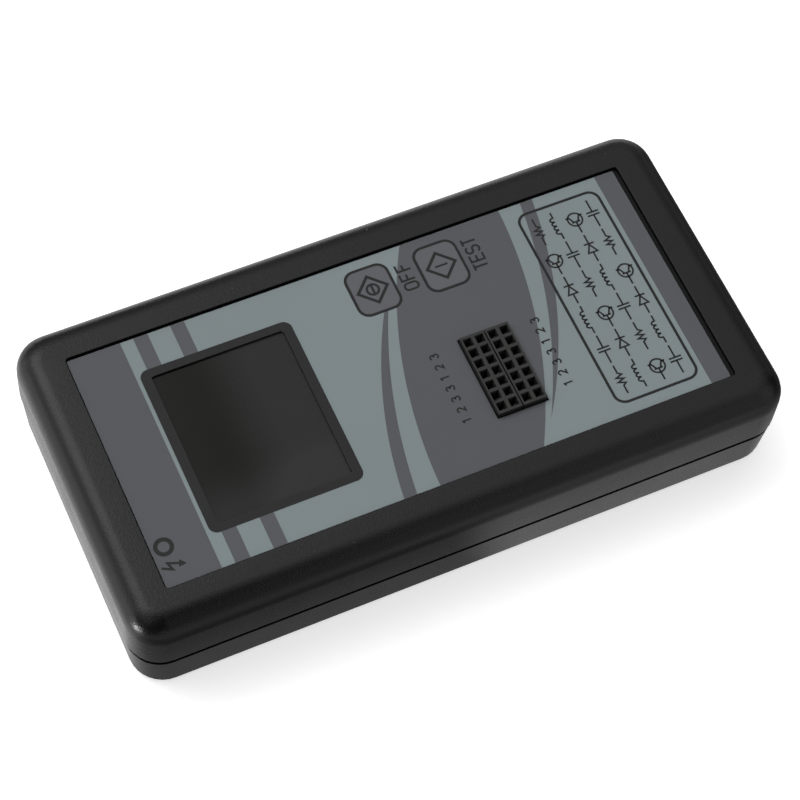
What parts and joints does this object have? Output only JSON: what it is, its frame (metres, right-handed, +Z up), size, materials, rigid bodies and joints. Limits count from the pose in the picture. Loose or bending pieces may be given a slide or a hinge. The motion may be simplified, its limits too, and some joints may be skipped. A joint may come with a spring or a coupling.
{
  "type": "component tester",
  "caption": "Handheld electronic component tester: black two-shell case, printed grey panel, dark display window, two film keys, pin sockets and a sliding battery door.",
  "frame": {"origin": "centre of the underside of the case", "axes": "+X from the display end to the battery end, +Y to the long side with the keys, +Z up out of the front panel"},
  "size_m": [0.138, 0.07, 0.0252],
  "materials": {
    "black_abs": "fine matte moulded texture, black ABS",
    "panel_film": "printed polyester film, satin, light and dark grey",
    "smoked_clear": "clear acrylic over a dark display, glossy",
    "display_glass": "unlit display, near black, glossy",
    "white_plastic": "white moulded plastic",
    "amber_film": "amber flexible circuit",
    "green_board": "green solder mask on glass laminate",
    "socket_plastic": "black moulded connector plastic",
    "chip_black": "black moulded chip package",
    "switch_black": "black switch body",
    "screw_steel": "plain steel screw",
    "bright_tin": "bright tinned metal",
    "resistor_black": "chip resistor",
    "capacitor_sleeve": "dark sleeve on a capacitor can",
    "red_led": "red epoxy lamp",
    "battery_jacket": "plain dark steel jacket",
    "red_lead": "red insulated wire",
    "black_lead": "black insulated wire"
  },
  "bodies": {
    "case": {"battery": "battery_jacket", "battery_snap": "socket_plastic", "black_lead": "black_lead", "board_screw_1": "screw_steel", "board_screw_2": "screw_steel", "board_screw_3": "screw_steel", "board_screw_4": "screw_steel", "bottom_shell": "black_abs", "case_screw_1": "screw_steel", "case_screw_2": "screw_steel", "case_screw_3": "screw_steel", "case_screw_4": "screw_steel", "crystal": "bright_tin", "display_backlight": "white_plastic", "display_carrier": "white_plastic", "display_glass": "display_glass", "display_ribbon": "amber_film", "display_window": "smoked_clear", "filter_capacitor_1": "capacitor_sleeve", "filter_capacitor_2": "capacitor_sleeve", "front_panel": "panel_film", "main_board": "green_board", "microcontroller": "chip_black", "negative_stud": "bright_tin", "off_switch": "switch_black", "positive_stud": "bright_tin", "power_transistor_1": "chip_black", "power_transistor_2": "chip_black", "power_transistor_3": "chip_black", "red_lead": "red_lead", "regulator": "chip_black", "socket_left": "socket_plastic", "socket_right": "socket_plastic", "status_led": "red_led", "test_resistor_1": "resistor_black", "test_resistor_2": "resistor_black", "test_resistor_3": "resistor_black", "test_resistor_4": "resistor_black", "test_resistor_5": "resistor_black", "test_resistor_6": "resistor_black", "test_switch": "switch_black", "top_shell": "black_abs", "voltage_reference": "chip_black"},
    "off_key": {"off_key": "panel_film", "off_plunger": "switch_black"},
    "test_key": {"test_key": "panel_film", "test_plunger": "switch_black"},
    "battery_door": {"battery_door": "black_abs"}
  },
  "joints": [
    {"name": "off_key_press", "type": "slide", "parent": "case", "child": "off_key", "axis": [0, 0, -1], "range_m": [0, 0.00025], "stiffness_N_per_m": 6400},
    {"name": "test_key_press", "type": "slide", "parent": "case", "child": "test_key", "axis": [0, 0, -1], "range_m": [0, 0.00025], "stiffness_N_per_m": 6400},
    {"name": "battery_door_slide", "type": "slide", "parent": "case", "child": "battery_door", "axis": [1, 0, 0], "range_m": [0, 0.03]}
  ]
}
